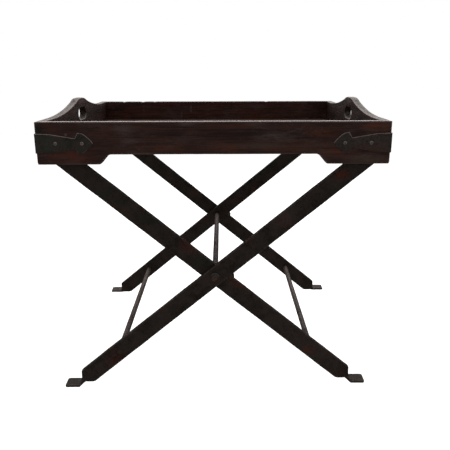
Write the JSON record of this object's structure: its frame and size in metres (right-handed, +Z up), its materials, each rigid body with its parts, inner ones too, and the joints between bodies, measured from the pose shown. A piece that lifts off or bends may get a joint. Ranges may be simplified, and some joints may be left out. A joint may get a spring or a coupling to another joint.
{
  "type": "butler tray",
  "caption": "Wooden butler tray with swept, handled ends and iron corner straps, resting on a folding crossed-bar stand of wrought iron.",
  "frame": {"origin": "on the floor under the middle of the tray and of the open stand", "axes": "+X along the tray to the right end, -Y towards the front, +Z up"},
  "size_m": [0.6678, 0.5078, 0.5979],
  "materials": {
    "board_wood": "aged dark reddish brown, waxed, worn pale along the top edges",
    "floor_wood": "aged brown, scuffed by use",
    "dowel_wood": "unfinished",
    "strap_iron": "hammered sheet iron, dark grey with a greenish cast, worn bright on its edges",
    "nail_iron": "forged iron, rubbed to a light grey",
    "bar_iron": "hammered wrought iron, dark brown-black with rust along the edges",
    "rod_iron": "wrought iron rod, rubbed to a pinkish grey"
  },
  "bodies": {
    "pivot": {"pivot_rod": "rod_iron", "front_pivot_washer": "rod_iron", "rear_pivot_washer": "rod_iron"},
    "left_foot_frame": {"left_foot_front_bar": "bar_iron", "left_foot_rear_bar": "bar_iron", "left_stretcher": "rod_iron"},
    "right_foot_frame": {"right_foot_front_bar": "bar_iron", "right_foot_rear_bar": "bar_iron", "right_stretcher": "rod_iron", "front_stop_peg": "rod_iron", "rear_stop_peg": "rod_iron"},
    "tray": {"front_board": "board_wood", "back_board": "board_wood", "left_end_board": "board_wood", "right_end_board": "board_wood", "floor_plank_front": "floor_wood", "floor_plank_middle": "floor_wood", "floor_plank_rear": "floor_wood", "corner_strap_front_left": "strap_iron", "corner_strap_front_right": "strap_iron", "corner_strap_rear_left": "strap_iron", "corner_strap_rear_right": "strap_iron", "strap_nails_front_left": "nail_iron", "strap_nails_front_right": "nail_iron", "strap_nails_rear_left": "nail_iron", "strap_nails_rear_right": "nail_iron", "corner_dowels": "dowel_wood"}
  },
  "joints": [
    {"name": "left_fold", "type": "hinge", "parent": "pivot", "child": "left_foot_frame", "pos_m": [0, 0, 0.246], "axis": [0, -1, 0], "range_deg": [0, 46]},
    {"name": "right_fold", "type": "hinge", "parent": "pivot", "child": "right_foot_frame", "pos_m": [0, 0, 0.246], "axis": [0, 1, 0], "range_deg": [0, 46]},
    {"name": "tray_lift", "type": "slide", "parent": "pivot", "child": "tray", "axis": [0, 0, 1], "range_m": [0, 0.26]}
  ],
  "couplings": [
    {"joint": "right_fold", "follows": "left_fold", "ratio": 1},
    {"joint": "tray_lift", "follows": "left_fold", "m_per_rad": 0.316}
  ]
}
